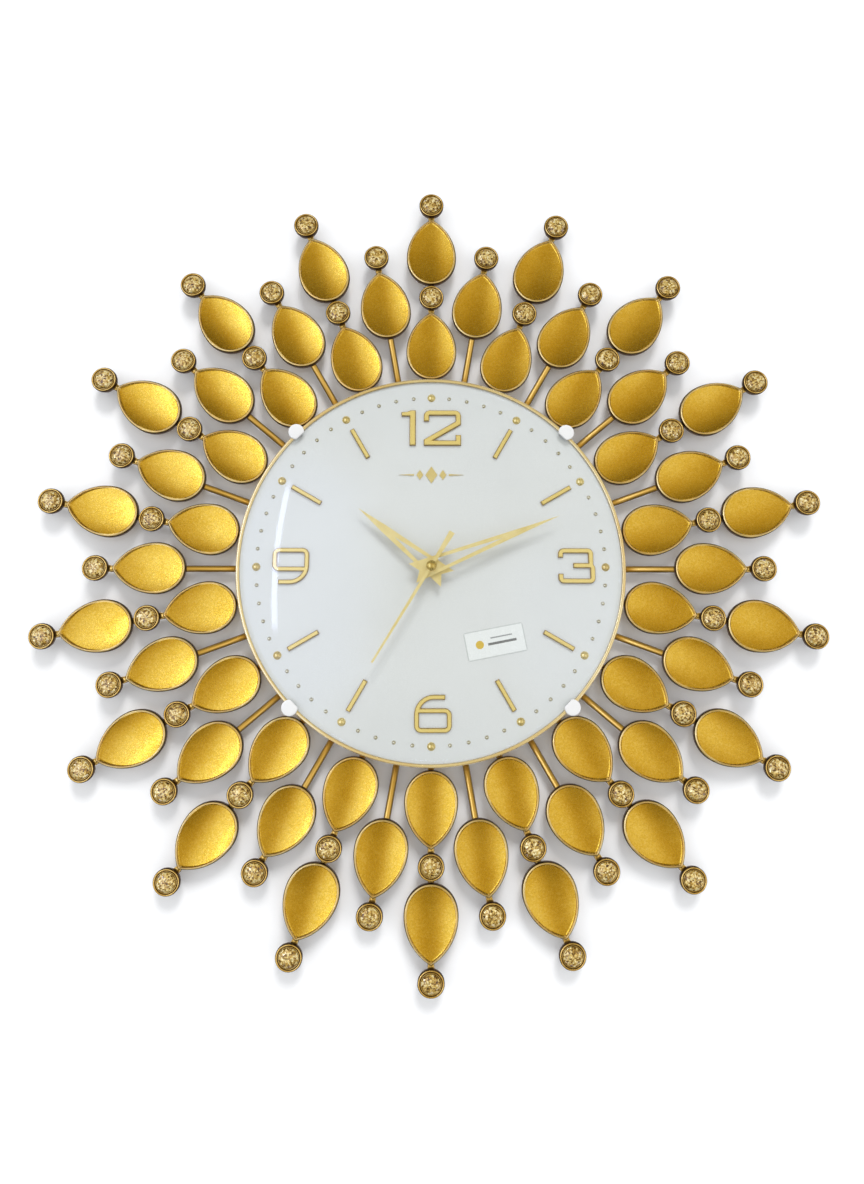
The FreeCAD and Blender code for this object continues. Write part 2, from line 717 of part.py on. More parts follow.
def center_bush():
    return ring(BUSH_RADIUS, BUSH_BORE, CASE_INSIDE_FRONT, BUSH_TIP)


def bush_nut():
    corner = 6.3
    hexagon = [around(60 * i, corner) for i in range(6)]
    nut = prism(hexagon, 21.6, 24.0)
    return bevelled(nut, 24.0, 0.4).cut(disc(BUSH_RADIUS, 20, 25))


def battery():
    nub_length = 1.3
    can = Part.makeCylinder(
        BATTERY_RADIUS, BATTERY_LENGTH - nub_length, at(-CELL_END, BATTERY_DEPTH, BATTERY_HEIGHT),
        FreeCAD.Vector(1, 0, 0),
    )
    can = can.makeFillet(0.6, [e for e in can.Edges if e.BoundBox.XLength < 1e-6])
    nub = Part.makeCylinder(
        2.75, nub_length, at(CELL_END - nub_length, BATTERY_DEPTH, BATTERY_HEIGHT), FreeCAD.Vector(1, 0, 0)
    )
    return can.fuse(nub).removeSplitter()


def contact_positive():
    blade = block(CELL_END, CELL_END + STRIP, 3.5, 11.5, -24, -14)
    tail = block(CELL_END, CELL_END + STRIP, 4.0, 7.0, -14, -5)
    return fuse([blade, tail])


def contact_negative():
    outer = -CELL_END - 0.6 - STRIP
    blade = block(outer, outer + STRIP, 3.5, 11.5, -24, -14)
    tail = block(outer, outer + STRIP, 4.0, 7.0, -14, -11.0)
    strip = block(outer, 23.0, 4.0, 4.8, PARTITION_TOP, -11.0)
    lug = block(21.0, 23.0, 4.0, 4.8, -11.0, -10.0)
    bump = Part.makeCone(
        3.0, 1.5, 0.6, at(outer + STRIP, BATTERY_DEPTH, BATTERY_HEIGHT), FreeCAD.Vector(1, 0, 0)
    )
    return fuse([blade, tail, strip, lug, bump])


def stator():
    leg = block(-19.0, -11.4, STATOR_BACK, STATOR_FRONT, -5.5, 25.0)
    low = block(-25.6, -19.0, STATOR_BACK, STATOR_FRONT, -5.5, -2.0)
    high = block(-25.6, -19.0, STATOR_BACK, STATOR_FRONT, 21.5, 25.0)
    return fuse([leg, low, high]).cut(disc(3.2, 6, 9, *ROTOR))


def coil_box(half, depth_half, z0, z1):
    middle = (STATOR_BACK + STATOR_FRONT) / 2
    return block(COIL_X - half, COIL_X + half, middle - depth_half, middle + depth_half, z0, z1)


def coil():
    """The core bar lies between the stator's two arms, inside the bobbin that carries the wire."""
    axis_depth = (STATOR_BACK + STATOR_FRONT) / 2
    low = at(COIL_X, axis_depth, COIL_LOW + 0.8)
    wire = Part.makeCylinder(3.2, COIL_HIGH - COIL_LOW - 1.6, low, FreeCAD.Vector(0, 0, 1))
    barrel = coil_box(1.7, 1.2, COIL_LOW, COIL_HIGH)
    flanges = [coil_box(3.3, 3.4, COIL_LOW, COIL_LOW + 0.8), coil_box(3.3, 3.4, COIL_HIGH - 0.8, COIL_HIGH)]
    core = coil_box(1.2, 0.75, -2.0, 21.5)
    save("coil_core", core)
    save("coil_bobbin", fuse([barrel] + flanges).cut(core))
    save("coil_winding", wire.cut(barrel))


def circuit_board():
    return block(19.0, CELL_END, 4.0, 5.4, -10.0, 26.0)


def movement():
    save("movement_front_case", front_case())
    save("movement_rear_cover", rear_cover())
    save("train_bridge", train_bridge())
    save_group("bridge_screws", [bridge_screw(x, z) for x, z in BRIDGE_POSTS])
    save("center_bush", center_bush())
    save("rubber_washer", ring(9.0, BUSH_RADIUS, CASE_FRONT, BOARD_BACK))
    save("bush_washer", ring(6.4, BUSH_RADIUS, DIAL_FRONT, 21.6))
    save("bush_nut", bush_nut())
    save("battery", battery())
    save("contact_positive", contact_positive())
    save("contact_negative", contact_negative())
    save("stator", stator())
    coil()
    save("circuit_board", circuit_board())
    can = Part.makeCylinder(1.0, 6.0, at(21.5, 6.4, 8.0), FreeCAD.Vector(0, 0, 1))
    save("quartz_crystal", can)
    save("control_chip", cap(2.4, 1.2, 5.4, 22.2, 0.5))
    for maker in (rotor, fifth_wheel, second_wheel, third_wheel, center_wheel, minute_arbor, minute_wheel,
                  hour_wheel, setting_knob):
        save(maker.__name__, maker())


os.makedirs("parts", exist_ok=True)
sunburst()
case()
dial_furniture()
hands()
movement()
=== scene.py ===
import bmesh
import bpy
import math
import random
from mathutils import Matrix, Vector


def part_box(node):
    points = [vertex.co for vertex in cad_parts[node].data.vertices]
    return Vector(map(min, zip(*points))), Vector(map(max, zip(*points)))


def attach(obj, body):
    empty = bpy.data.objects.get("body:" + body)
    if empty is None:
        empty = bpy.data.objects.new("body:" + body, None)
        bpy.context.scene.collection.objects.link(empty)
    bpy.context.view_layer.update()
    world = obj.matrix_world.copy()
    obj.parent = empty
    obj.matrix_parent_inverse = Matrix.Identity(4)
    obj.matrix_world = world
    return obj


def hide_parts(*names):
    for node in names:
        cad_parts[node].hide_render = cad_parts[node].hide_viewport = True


# The sunburst wall clock's looks. The clock faces -Y, +X is the viewer's right and +Z is up.
# "Depth" is the distance in front of the wall, so y = -depth. Profiles are in millimetres.
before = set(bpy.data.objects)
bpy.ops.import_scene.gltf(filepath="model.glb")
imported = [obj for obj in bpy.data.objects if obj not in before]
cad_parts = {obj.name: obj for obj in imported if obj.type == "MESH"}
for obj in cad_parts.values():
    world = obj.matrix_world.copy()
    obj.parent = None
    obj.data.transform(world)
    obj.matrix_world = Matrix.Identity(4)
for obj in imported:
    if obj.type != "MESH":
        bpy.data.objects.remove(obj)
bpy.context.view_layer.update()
random.seed(11)

MM = 0.001
RAY_PAIRS = 18
LONG_ANGLES = [i * 360 / RAY_PAIRS for i in range(RAY_PAIRS)]
SHORT_ANGLES = [angle + 180 / RAY_PAIRS for angle in LONG_ANGLES]
CORNER_ANGLES = [45, 135, 225, 315]


def low(node):
    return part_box(node)[0] / MM


def high(node):
    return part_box(node)[1] / MM


def front_of(node):
    return -low(node).y


def back_of(node):
    return -high(node).y


# ------------------------------------------------------------------ sizes read from the frame
LEAF_HALF_WIDTH = 19.4
LEAF_TIP_LENGTH = 33.0
LEAF_ROUND_LENGTH = 21.8
CUP_RADIUS = 9.6
STONE_RADIUS = 6.85
ROD_RADIUS = (front_of("long_ray_rods") - back_of("long_ray_rods")) / 2
ROD_DEPTH = back_of("long_ray_rods") + ROD_RADIUS
ROD_START = 100.0

OUTER_WIDEST = high("outer_leaves").z - LEAF_TIP_LENGTH
INNER_WIDEST = high("inner_leaves").z - LEAF_TIP_LENGTH
SHORT_WIDEST = -low("short_ray_leaves").x - LEAF_TIP_LENGTH
OUTER_RING = high("outer_gem_cups").z - CUP_RADIUS
INNER_RING = high("inner_gem_cups").z - CUP_RADIUS
SHORT_RING = high("short_ray_gem_cups").x - CUP_RADIUS

DIAL_FRONT = front_of("dial_face")
BEZEL_RADIUS = high("bezel").x
STUD_RING = high("hour_studs").z - 3.0


# ------------------------------------------------------------------ mesh helpers
def point(x, depth, z):
    return Vector((x, -depth, z))


class Shape:
    """Points in millimetres with faces, each face with a material number and a smooth flag."""

    def __init__(self):
        self.points = []
        self.faces = []
        self.looks = []
        self.smooth = []

    def add(self, points, faces, looks=None, smooth=True):
        start = len(self.points)
        self.points += points
        self.faces += [[start + k for k in face] for face in faces]
        self.looks += looks or [0] * len(faces)
        self.smooth += [smooth] * len(faces)
        return self

    def join(self, other):
        start = len(self.points)
        self.points += other.points
        self.faces += [[start + k for k in face] for face in other.faces]
        self.looks += other.looks
        self.smooth += other.smooth
        return self

    def turned(self, clock_angle):
        """A copy turned clockwise about the dial's centre."""
        turn = Matrix.Rotation(math.radians(clock_angle), 3, "Y")
        copy = Shape().join(self)
        copy.points = [turn @ p for p in self.points]
        return copy

    def repeat(self, clock_angles):
        whole = Shape()
        for angle in clock_angles:
            whole.join(self.turned(angle))
        return whole

    def raised(self, distance):
        """Moves the shape straight up, out along the ray that points to 12."""
        self.points = [p + Vector((0, 0, distance)) for p in self.points]
        return self


def make(name, shape, materials, body, nodes=()):
    """A mesh object that rides on a body and stands for the given CAD nodes."""
    mesh = bpy.data.meshes.new(name)
    mesh.from_pydata([p * MM for p in shape.points], [], shape.faces)
    mesh.polygons.foreach_set("material_index", shape.looks)
    mesh.polygons.foreach_set("use_smooth", shape.smooth)
    rebuilt = bmesh.new()
    rebuilt.from_mesh(mesh)
    bmesh.ops.remove_doubles(rebuilt, verts=rebuilt.verts, dist=1e-7)
    bmesh.ops.recalc_face_normals(rebuilt, faces=rebuilt.faces)
    rebuilt.to_mesh(mesh)
    rebuilt.free()
    for material in materials:
        mesh.materials.append(material)
    piece = bpy.data.objects.new(name, mesh)
    bpy.context.scene.collection.objects.link(piece)
    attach(piece, body)
    if nodes:
        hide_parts(*nodes)
    return piece


def soften(piece, width):
    """Rounded edges, so that they catch the light."""
    rounding = piece.modifiers.new("rounding", "BEVEL")
    rounding.width = width * MM
    rounding.segments = 2
    rounding.limit_method = "ANGLE"
    rounding.angle_limit = math.radians(40)
    rounding.harden_normals = True


def circle(radius, depth, count, offset=0.0):
    """A loop of points round a line from back to front; offset is a share of one step."""
    turns = [2 * math.pi * (i + offset) / count for i in range(count)]
    return [point(radius * math.sin(turn), depth, radius * math.cos(turn)) for turn in turns]


def oval(half_width, half_depth, depth, z, count):
    """A loop of points round a line that runs straight up."""
    turns = [2 * math.pi * i / count for i in range(count)]
    return [point(half_width * math.cos(turn), depth + half_depth * math.sin(turn), z) for turn in turns]


def looped(rings, looks=None):
    """A shape of faces between closed loops of equal length; the first and last loops may be one point."""
    points = [p for ring in rings for p in ring]
    count = max(len(ring) for ring in rings)
    faces = []
    face_looks = []
    start = 0
    for k in range(len(rings) - 1):
        following = start + len(rings[k])
        for i in range(count):
            j = (i + 1) % count
            near = [start + i, start + j] if len(rings[k]) > 1 else [start]
            far = [following + i, following + j] if len(rings[k + 1]) > 1 else [following]
            faces.append(near[:1] + far + near[1:])
            face_looks.append(looks[k] if looks else 0)
        start = following
    return Shape().add(points, faces, face_looks)


def capped(rings):
    """The loops with a point at the middle of each end loop, which closes it."""
    ends = [[sum(ring, Vector()) / len(ring)] for ring in (rings[0], rings[-1])]
    return ends[:1] + rings + ends[1:]


def lathed(profile, segments=64, looks=None):
    """A profile of (radius, depth) turned about a line from back to front; (0, depth) closes an end."""
    rings = [circle(radius, depth, segments) if radius else [point(0, depth, 0)] for radius, depth in profile]
    return looped(rings, looks)


# ------------------------------------------------------------------ materials
class Look:
    """A node material with one Principled shader."""

    def __init__(self, name):
        self.material = bpy.data.materials.new(name)
        self.material.use_nodes = True
        self.tree = self.material.node_tree
        self.shader = self.tree.nodes["Principled BSDF"]
        self.place = self.node("ShaderNodeTexCoord").outputs["Object"]

    def node(self, kind, **values):
        made = self.tree.nodes.new(kind)
        for key, value in values.items():
            setattr(made, key, value)
        return made

    def link(self, source, target):
        self.tree.links.new(source, target)

    def feed(self, socket, value):
        """Links a socket to another one, or sets it to a number, a colour or a vector."""
        if isinstance(value, bpy.types.NodeSocket):
            self.link(value, socket)
        else:
            socket.default_value = (*value, 1) if socket.type == "RGBA" else value

    def set(self, **values):
        for key, value in values.items():
            self.shader.inputs[key.replace("_", " ")].default_value = value
        return self

    def stretched(self, x, y, z):
        mapping = self.node("ShaderNodeMapping")
        mapping.inputs["Scale"].default_value = (x, y, z)
        self.link(self.place, mapping.inputs["Vector"])
        return mapping.outputs["Vector"]

    def noise(self, size_mm, detail=3.0, roughness=0.55, place=None):
        made = self.node("ShaderNodeTexNoise")
        made.inputs["Scale"].default_value = 1 / (size_mm * MM)
        made.inputs["Detail"].default_value = detail
        made.inputs["Roughness"].default_value = roughness
        self.link(place or self.place, made.inputs["Vector"])
        return made.outputs["Fac"]

    def cells(self, size_mm):
        """A random colour in each of many small cells."""
        made = self.node("ShaderNodeTexVoronoi")
        made.inputs["Scale"].default_value = 1 / (size_mm * MM)
        self.link(self.place, made.inputs["Vector"])
        return made.outputs["Color"]

    def split(self, source, kind="XYZ"):
        """The three parts of a vector, or of a colour when kind is Color."""
        made = self.node("ShaderNodeSeparate" + kind)
        self.link(source, made.inputs[0])
        return made.outputs

    def ramp(self, source, stops):
        made = self.node("ShaderNodeValToRGB")
        band = made.color_ramp
        while len(band.elements) < len(stops):
            band.elements.new(0.5)
        for element, (where, colour) in zip(band.elements, stops):
            element.position = where
            element.color = (*colour, 1)
        self.link(source, made.inputs["Fac"])
        return made.outputs["Color"]

    def range(self, source, low_value, high_value, low_in=0.0, high_in=1.0, steps="LINEAR"):
        made = self.node("ShaderNodeMapRange", interpolation_type=steps)
        made.inputs["From Min"].default_value = low_in
        made.inputs["From Max"].default_value = high_in
        made.inputs["To Min"].default_value = low_value
        made.inputs["To Max"].default_value = high_value
        self.link(source, made.inputs["Value"])
        return made.outputs["Result"]

    def rise(self, source, start, end, top=1.0):
        """0 up to start, then smoothly up to top at end."""
        return self.range(source, 0.0, top, start, end, "SMOOTHSTEP")

    def fall(self, source, start, end, drop=1.0):
        """1 up to start, then smoothly down by drop at end."""
        return self.calc("SUBTRACT", 1.0, self.rise(source, start, end, drop))

    def crest(self, front, full, none):
        """1 down to full millimetres behind a front, and 0 from none millimetres behind it."""
        return self.range(self.split(self.place)["Y"], 1.0, 0.0, -(front - full) * MM, -(front - none) * MM)

    def calc(self, operation, first, second=0.0):
        made = self.node("ShaderNodeMath", operation=operation)
        for socket, value in zip(made.inputs, (first, second)):
            self.feed(socket, value)
        return made.outputs[0]

    def steer(self, operation, first, second):
        """A sum or difference of two vectors."""
        made = self.node("ShaderNodeVectorMath", operation=operation)
        for socket, value in zip(made.inputs, (first, second)):
            self.feed(socket, value)
        return made.outputs[0]

    def mix(self, factor, first, second):
        made = self.node("ShaderNodeMix", data_type="RGBA")
        for number, value in ((0, factor), (6, first), (7, second)):
            self.feed(made.inputs[number], value)
        return made.outputs[2]

    def colour(self, source):
        self.link(source, self.shader.inputs["Base Color"])
        return self

    def roughness(self, source):
        self.link(source, self.shader.inputs["Roughness"])
        return self

    def bump(self, source, height_mm):
        made = self.node("ShaderNodeBump")
        made.inputs["Strength"].default_value = 1.0
        made.inputs["Distance"].default_value = height_mm * MM
        self.link(source, made.inputs["Height"])
        self.link(made.outputs["Normal"], self.shader.inputs["Normal"])
        return self

    def blend(self, share, first, second):
        """Two shaders mixed; share is the second one's part."""
        made = self.node("ShaderNodeMixShader")
        for socket, value in zip(made.inputs, (share, first.outputs[0], second.outputs[0])):
            self.link(value, socket)
        return made

    def surface(self, shader):
        """Puts the given shader on the surface, in place of the Principled one."""
        self.link(shader.outputs[0], self.tree.nodes["Material Output"].inputs["Surface"])


def srgb(red, green, blue):
    """A colour given as screen values from 0 to 255, as linear light."""
    shares = [value / 255 for value in (red, green, blue)]
    return tuple(((s + 0.055) / 1.055) ** 2.4 if s > 0.04 else s / 12.92 for s in shares)


def flake_gold(name, deep, bright, roughness):
    """Satin lacquered gold with a fine sandy grain of darker and brighter metal flakes."""
    look = Look(name).set(Metallic=1.0)
    base = look.mix(look.range(look.noise(22.0, 2.0), 0.0, 1.0, 0.3, 0.7), deep, bright)
    tone, polish = look.split(look.cells(0.85), "Color")[:2]
    shadow = tuple(c * 0.45 for c in deep)
    base = look.mix(look.range(tone, 0.17, 0.0, 0.0, 0.45), base, shadow)
    glint = (1.0, 0.74, 0.22)
    look.colour(look.mix(look.range(tone, 0.0, 0.22, 0.55, 1.0), base, glint))
    look.roughness(look.range(polish, roughness - 0.05, roughness + 0.05))
    return look.bump(look.noise(0.5, 2.0), 0.006).material


def rod_gold(name, dark, light, roughness):
    """Lacquered rod with a painted highlight along its crest and painted shade, brown, down its sides."""
    look = Look(name).set(Metallic=0.95)
    # Painted light: the front crest is painted bright as a highlight and the sides behind it dark as shade.
    look.colour(look.mix(look.crest(ROD_DEPTH + ROD_RADIUS, 0.3, 1.3), dark, light))
    grain = look.noise(0.6, 2.0)
    look.roughness(look.range(grain, roughness - 0.05, roughness + 0.08))
    return look.bump(grain, 0.006).material


def rubbed_gold_and_painted_shade(name, dark, light, roughness, size=3.0):
    """Rubbed gold, mixed in random patches between a darker and a lighter colour; its near-black versions are
    painted shade on side walls and in hollows.
    """
    look = Look(name).set(Metallic=0.9)
    rub = look.noise(size, 4.0, 0.6)
    grain = look.noise(0.5, 2.0)
    look.colour(look.mix(look.range(rub, 0.0, 1.0, 0.35, 0.68), dark, light))
    look.roughness(look.range(grain, roughness - 0.07, roughness + 0.1))
    return look.bump(grain, 0.01).material


def satin_metal(name, colour, darker, roughness, grain_mm=0.25, metallic=1.0):
    """Smooth metal with slow tone changes and a very fine grain."""
    look = Look(name).set(Metallic=metallic)
    tone = look.noise(45.0, 2.0)
    grain = look.noise(grain_mm, 3.0)
    look.colour(look.mix(look.range(tone, 0.0, 1.0, 0.35, 0.7), colour, darker))
    look.roughness(look.range(grain, roughness - 0.05, roughness + 0.06))
    return look.bump(grain, 0.004).material


def relief_gold_painted_light(name, crown, flank, roughness):
    """Raised dial markers: a painted highlight on top and painted shade down their bevels."""
    look = Look(name).set(Metallic=0.6)
    # Painted light: the crown colour on top is a painted highlight, the darker flank colour down the bevels
    # is painted shade.
    look.colour(look.mix(look.crest(front_of("numeral_12"), 0.12, 0.75), flank, crown))
    grain = look.noise(0.25, 3.0)
    look.roughness(look.range(grain, roughness - 0.05, roughness + 0.06))
    return look.bump(grain, 0.004).material


def brushed_metal(name, colour, darker, roughness, along="x", metallic=1.0):
    """Sheet metal with fine straight brush marks."""
    look = Look(name).set(Metallic=metallic)
    scale = {"x": (0.04, 1, 1), "z": (1, 1, 0.04)}[along]
    marks = look.noise(0.12, 2.0, 0.5, look.stretched(*scale))
    tone = look.noise(9.0, 2.0)
    look.colour(look.mix(look.range(tone, 0.0, 0.8, 0.35, 0.7), colour, darker))
    look.roughness(look.range(marks, roughness - 0.06, roughness + 0.08, 0.3, 0.7))
    return look.bump(marks, 0.004).material


def moulded(name, colour, roughness, grain_mm=0.35, grain_height=0.02, tone=0.85):
    """Plastic with a fine moulded grain and slight tone changes."""
    look = Look(name)
    grain = look.noise(grain_mm, 2.0)
    cloud = look.noise(20.0, 2.0)
    darker = tuple(c * tone for c in colour)
    look.colour(look.mix(look.range(cloud, 0.0, 1.0, 0.35, 0.65), colour, darker))
    look.roughness(look.range(grain, roughness - 0.06, roughness + 0.08))
    return look.bump(grain, grain_height).material


def amber_stone():
    """Champagne crystal with foil behind it: every facet and chip is painted its own tone, dark brown to
    cream, as painted reflections of the light in the stone.
    """
    look = Look("amber_stone").set(Metallic=0.45, Coat_Weight=1.0, Coat_Roughness=0.03)
    chips = look.cells(0.95)
    tone, polish = look.split(chips, "Color")[:2]
    share = look.node("ShaderNodeMix", data_type="FLOAT")
    facet = look.node("ShaderNodeAttribute", attribute_name="facet").outputs["Fac"]
    for number, value in ((0, 0.42), (2, facet), (3, tone)):
        look.feed(share.inputs[number], value)
    # Painted reflections: the ramp's dark browns and creams stand for the light and shade each facet and chip
    # shows.
    look.colour(look.ramp(share.outputs[0], [
        (0.2, srgb(88, 57, 12)),
        (0.38, srgb(174, 134, 54)),
        (0.6, srgb(224, 192, 106)),
        (0.82, srgb(252, 238, 184)),
    ]))
    look.roughness(look.range(polish, 0.08, 0.3))
    lean = look.node("ShaderNodeVectorMath", operation="SCALE")
    lean.inputs["Scale"].default_value = 0.7
    look.link(look.steer("SUBTRACT", chips, (0.5, 0.5, 0.5)), lean.inputs[0])
    normal = look.node("ShaderNodeNewGeometry").outputs["Normal"]
    unit = look.node("ShaderNodeVectorMath", operation="NORMALIZE")
    look.link(look.steer("ADD", normal, lean.outputs[0]), unit.inputs[0])
    look.link(unit.outputs[0], look.shader.inputs["Normal"])
    return look.material


def clear_glass():
    """Thin clear glass: it lets the light through and mirrors more towards its edge, but not from inside."""
    look = Look("clear_glass")
    through = look.node("ShaderNodeBsdfTransparent")
    through.inputs["Color"].default_value = (0.985, 0.992, 0.99, 1)
    mirror = look.node("ShaderNodeBsdfGlossy")
    smear = look.noise(60.0, 3.0)
    look.link(look.range(smear, 0.015, 0.05, 0.35, 0.7), mirror.inputs["Roughness"])
    fresnel = look.node("ShaderNodeFresnel")
    fresnel.inputs["IOR"].default_value = 1.5
    outside = look.calc("SUBTRACT", 1.0, look.node("ShaderNodeNewGeometry").outputs["Backfacing"])
    look.surface(look.blend(look.calc("MULTIPLY", fresnel.outputs[0], outside), through, mirror))
    look.tree.nodes.remove(look.shader)
    return look.material


def dial_lacquer():
    """Glossy white lacquer with a faint cloud."""
    look = Look("dial_lacquer").set(Coat_Weight=0.6, Coat_Roughness=0.08)
    cloud = look.noise(70.0, 2.0)
    fleck = look.noise(0.4, 2.0)
    look.colour(look.mix(look.range(cloud, 0.0, 1.0, 0.35, 0.65), (0.66, 0.67, 0.675), (0.64, 0.65, 0.655)))
    look.roughness(look.range(fleck, 0.22, 0.32))
    return look.bump(fleck, 0.002).material


def label_film():
    """Clear film with a milky edge line, a plain amber bead and two plain grey rules; no lettering."""
    look = Look("label_film").set(Coat_Weight=0.5, Coat_Roughness=0.1)
    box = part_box("dial_label")
    tilt = math.radians(-11)
    mapping = look.node("ShaderNodeMapping", vector_type="TEXTURE")
    mapping.inputs["Location"].default_value = (box[0] + box[1]) / 2
    mapping.inputs["Rotation"].default_value = (0, tilt, 0)
    mapping.inputs["Scale"].default_value = (MM, MM, MM)
    look.link(look.place, mapping.inputs["Vector"])
    across, _, up = look.split(mapping.outputs["Vector"])

    def within(source, middle, half):
        return look.calc("LESS_THAN", look.calc("ABSOLUTE", look.calc("SUBTRACT", source, middle)), half)

    def bar(middle_x, half_x, middle_z, half_z):
        return look.calc("MULTIPLY", within(across, middle_x, half_x), within(up, middle_z, half_z))

    haze = look.noise(5.0, 3.0)
    shade = look.mix(haze, (0.76, 0.775, 0.775), (0.73, 0.745, 0.745))
    shade = look.mix(look.calc("SUBTRACT", 1.0, bar(0, 21.2, 0, 9.7)), shade, (0.52, 0.54, 0.54))
    shade = look.mix(bar(5.0, 10.5, -0.8, 0.9), shade, (0.16, 0.165, 0.17))
    shade = look.mix(bar(5.0, 8.0, 3.4, 0.5), shade, (0.3, 0.31, 0.32))
    bead_x, bead_radius = -11.5, 3.0
    aside = look.calc("POWER", look.calc("SUBTRACT", across, bead_x), 2.0)
    reach = look.calc("ADD", aside, look.calc("POWER", up, 2.0))
    shade = look.mix(look.calc("LESS_THAN", reach, bead_radius ** 2), shade, (0.62, 0.42, 0.06))
    look.colour(shade)
    return look.roughness(look.range(haze, 0.18, 0.35)).material


def paint():
    """Every material, by the name that the pieces ask for."""
    return {
        "leaf": flake_gold("leaf_gold", (0.74, 0.44, 0.035), (0.82, 0.52, 0.06), 0.26),
        # The rim's paler, brighter gold is a painted highlight along the leaves' rolled rims.
        "rim": satin_metal("rim_gold_painted_highlight", (1.0, 0.8, 0.36), (1.0, 0.7, 0.24), 0.38),
        "leaf_back": satin_metal("leaf_back", (0.4, 0.24, 0.06), (0.3, 0.17, 0.04), 0.42),
        # Painted shade: near-black gold for the side walls of the leaves and cups.
        "edge": rubbed_gold_and_painted_shade("edge_painted_shade", (0.03, 0.013, 0.003), (0.11, 0.052, 0.01), 0.5),
        # Rods and necks: a painted highlight along the front crest and painted shade down the sides.
        "rod": rod_gold("rod_gold", (0.1, 0.047, 0.009), (0.9, 0.58, 0.14), 0.3),
        "cup": rubbed_gold_and_painted_shade("cup_gold", (0.72, 0.46, 0.11), (0.96, 0.7, 0.26), 0.2, 6.0),
        # Painted shade: near-black gold in the cups' grooves and seats.
        "cup_inside": rubbed_gold_and_painted_shade("cup_inside", (0.03, 0.014, 0.004), (0.12, 0.06, 0.014), 0.45, 2.0),
        "stone": amber_stone(),
        "bezel": satin_metal("bezel_gold", srgb(250, 234, 186), srgb(232, 206, 146), 0.22, 0.25, 0.75),
        "glass": clear_glass(),
        "clip": moulded("clip_white", (0.74, 0.74, 0.735), 0.32, 0.5, 0.01, 0.95),
        "dial": dial_lacquer(),
        # Markers: painted highlight on their tops, painted shade on their bevels.
        "marker": relief_gold_painted_light("marker_gold", srgb(250, 228, 150), srgb(150, 112, 44), 0.25),
        "dome": satin_metal("dome_gold", srgb(246, 226, 158), srgb(226, 200, 128), 0.2, 0.25, 0.7),
        "minute": satin_metal("minute_gold", srgb(226, 222, 200), srgb(206, 200, 174), 0.2, 0.25, 0.75),
        "hand": brushed_metal("hand_gold", srgb(240, 224, 166), srgb(226, 206, 138), 0.34, "z", 0.5),
        "cap": satin_metal("cap_gold", srgb(236, 212, 130), srgb(200, 168, 84), 0.2, 0.25, 0.8),
        "film": label_film(),
        "ornament": satin_metal("ornament_gold", srgb(232, 214, 152), srgb(216, 192, 120), 0.28, 0.25, 0.55),
        "plate": moulded("plate_black", (0.022, 0.022, 0.023), 0.5, 0.5, 0.04, 0.8),
        "tray": satin_metal("tray_gold", srgb(196, 166, 104), srgb(160, 126, 66), 0.38, 0.4),
        "board": moulded("hardboard", srgb(138, 104, 70), 0.7, 0.7, 0.05, 0.8),
        "screw": brushed_metal("screw_steel", (0.62, 0.62, 0.63), (0.42, 0.42, 0.43), 0.3, "x"),
        "case": moulded("case_black", (0.018, 0.018, 0.02), 0.46, 0.3, 0.03, 0.8),
        "bridge": moulded("bridge_grey", (0.30, 0.31, 0.32), 0.5, 0.3, 0.02),
        "nylon": moulded("nylon_white", (0.74, 0.72, 0.66), 0.42, 0.25, 0.01, 0.93),
        "rotor": moulded("rotor_blue", (0.08, 0.14, 0.34), 0.45, 0.25, 0.01),
        "brass": satin_metal("turned_brass", srgb(214, 176, 92), srgb(176, 134, 60), 0.26),
        "aluminium": satin_metal("turned_aluminium", (0.78, 0.78, 0.79), (0.62, 0.62, 0.63), 0.28),
        "rubber": moulded("rubber_black", (0.012, 0.012, 0.012), 0.75, 0.2, 0.03),
        "cell": moulded("cell_wrap", (0.03, 0.12, 0.17), 0.28, 0.8, 0.004, 0.9),
        "nickel": brushed_metal("nickel_strip", (0.70, 0.68, 0.63), (0.55, 0.53, 0.48), 0.28, "z"),
        "lamination": brushed_metal("lamination", (0.42, 0.42, 0.43), (0.3, 0.3, 0.3), 0.4, "x"),
        "bobbin": moulded("bobbin_plastic", (0.03, 0.12, 0.07), 0.45),
        "copper": brushed_metal("copper_wire", srgb(196, 106, 54), srgb(150, 72, 34), 0.28, "x"),
        "circuit": moulded("board_green", (0.02, 0.11, 0.045), 0.35, 0.8, 0.01),
        "can": satin_metal("crystal_can", (0.75, 0.75, 0.76), (0.6, 0.6, 0.61), 0.16),
        "chip": moulded("chip_black", (0.012, 0.012, 0.012), 0.25, 0.6, 0.01),
    }


# ------------------------------------------------------------------ leaves, cups, stones and rods
def leaf_edge(scale, depth, inset=0.0):
    """One loop of the leaf's outline, round towards the hub and pointed outwards."""
    half = LEAF_HALF_WIDTH
    side = (half * half + LEAF_TIP_LENGTH ** 2) / (2 * half)
    tip_turn = math.asin(LEAF_TIP_LENGTH / side)
    quarter = 28
    loop = []
    for i in range(quarter):
        turn = tip_turn * (1 - i / quarter)
        loop.append((half - side + side * math.cos(turn), side * math.sin(turn)))
    for i in range(2 * quarter):
        turn = math.pi * i / (2 * quarter)
        loop.append((half * math.cos(turn), -LEAF_ROUND_LENGTH * math.sin(turn)))
    for i in range(quarter):
        turn = tip_turn * i / quarter
        loop.append((-(half - side + side * math.cos(turn)), side * math.sin(turn)))
    placed = []
    for x, z in loop:
        far = math.hypot(x, z)
        keep = scale * max(far - inset, 0) / far
        level = depth(x * keep, z * keep) if callable(depth) else depth
        placed.append(point(x * keep, level, z * keep))
    return placed


